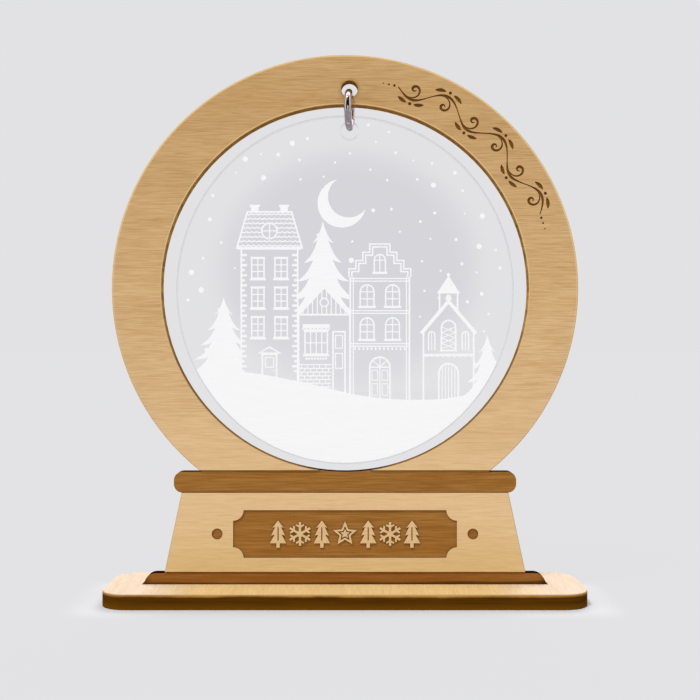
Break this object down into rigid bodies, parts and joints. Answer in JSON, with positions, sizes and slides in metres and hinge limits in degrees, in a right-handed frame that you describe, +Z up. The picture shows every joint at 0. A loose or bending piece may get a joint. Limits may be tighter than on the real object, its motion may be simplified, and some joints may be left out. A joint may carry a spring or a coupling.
{
  "type": "hanging disc snow globe decoration",
  "caption": "Flat-pack wooden snow globe decoration: a round upright plate stands in a slotted base, and a clear acrylic disc hangs inside its ring from a split jump ring.",
  "frame": {"origin": "middle of the base's underside, on the table", "axes": "+Z up, the front faces -Y, +X to the right seen from the front"},
  "size_m": [0.1266, 0.029, 0.1452],
  "materials": {
    "base_wood": "bare light wood with laser-darkened edges",
    "frame_wood": "bare light wood with laser-darkened edges and engraving",
    "ring_steel": "bright plated wire",
    "clear_acrylic": "clear polished sheet"
  },
  "bodies": {
    "base": {"base_plate": "base_wood"},
    "upright": {"frame_plate": "frame_wood"},
    "hanger": {"jump_ring": "ring_steel"},
    "ornament": {"acrylic_disc": "clear_acrylic"}
  },
  "joints": [
    {"name": "frame_lift", "type": "slide", "parent": "base", "child": "upright", "axis": [0, 0, 1], "range_m": [0, 0.01]},
    {"name": "ring_twist", "type": "hinge", "parent": "upright", "child": "hanger", "pos_m": [0.0012, 0, 0.13094], "axis": [0, 0, 1], "range_deg": [-4, 16]},
    {"name": "disc_swing", "type": "hinge", "parent": "hanger", "child": "ornament", "pos_m": [0.0012, 0, 0.13094], "axis": [0.9945, -0.1045, 0], "range_deg": [-40, 40]}
  ]
}
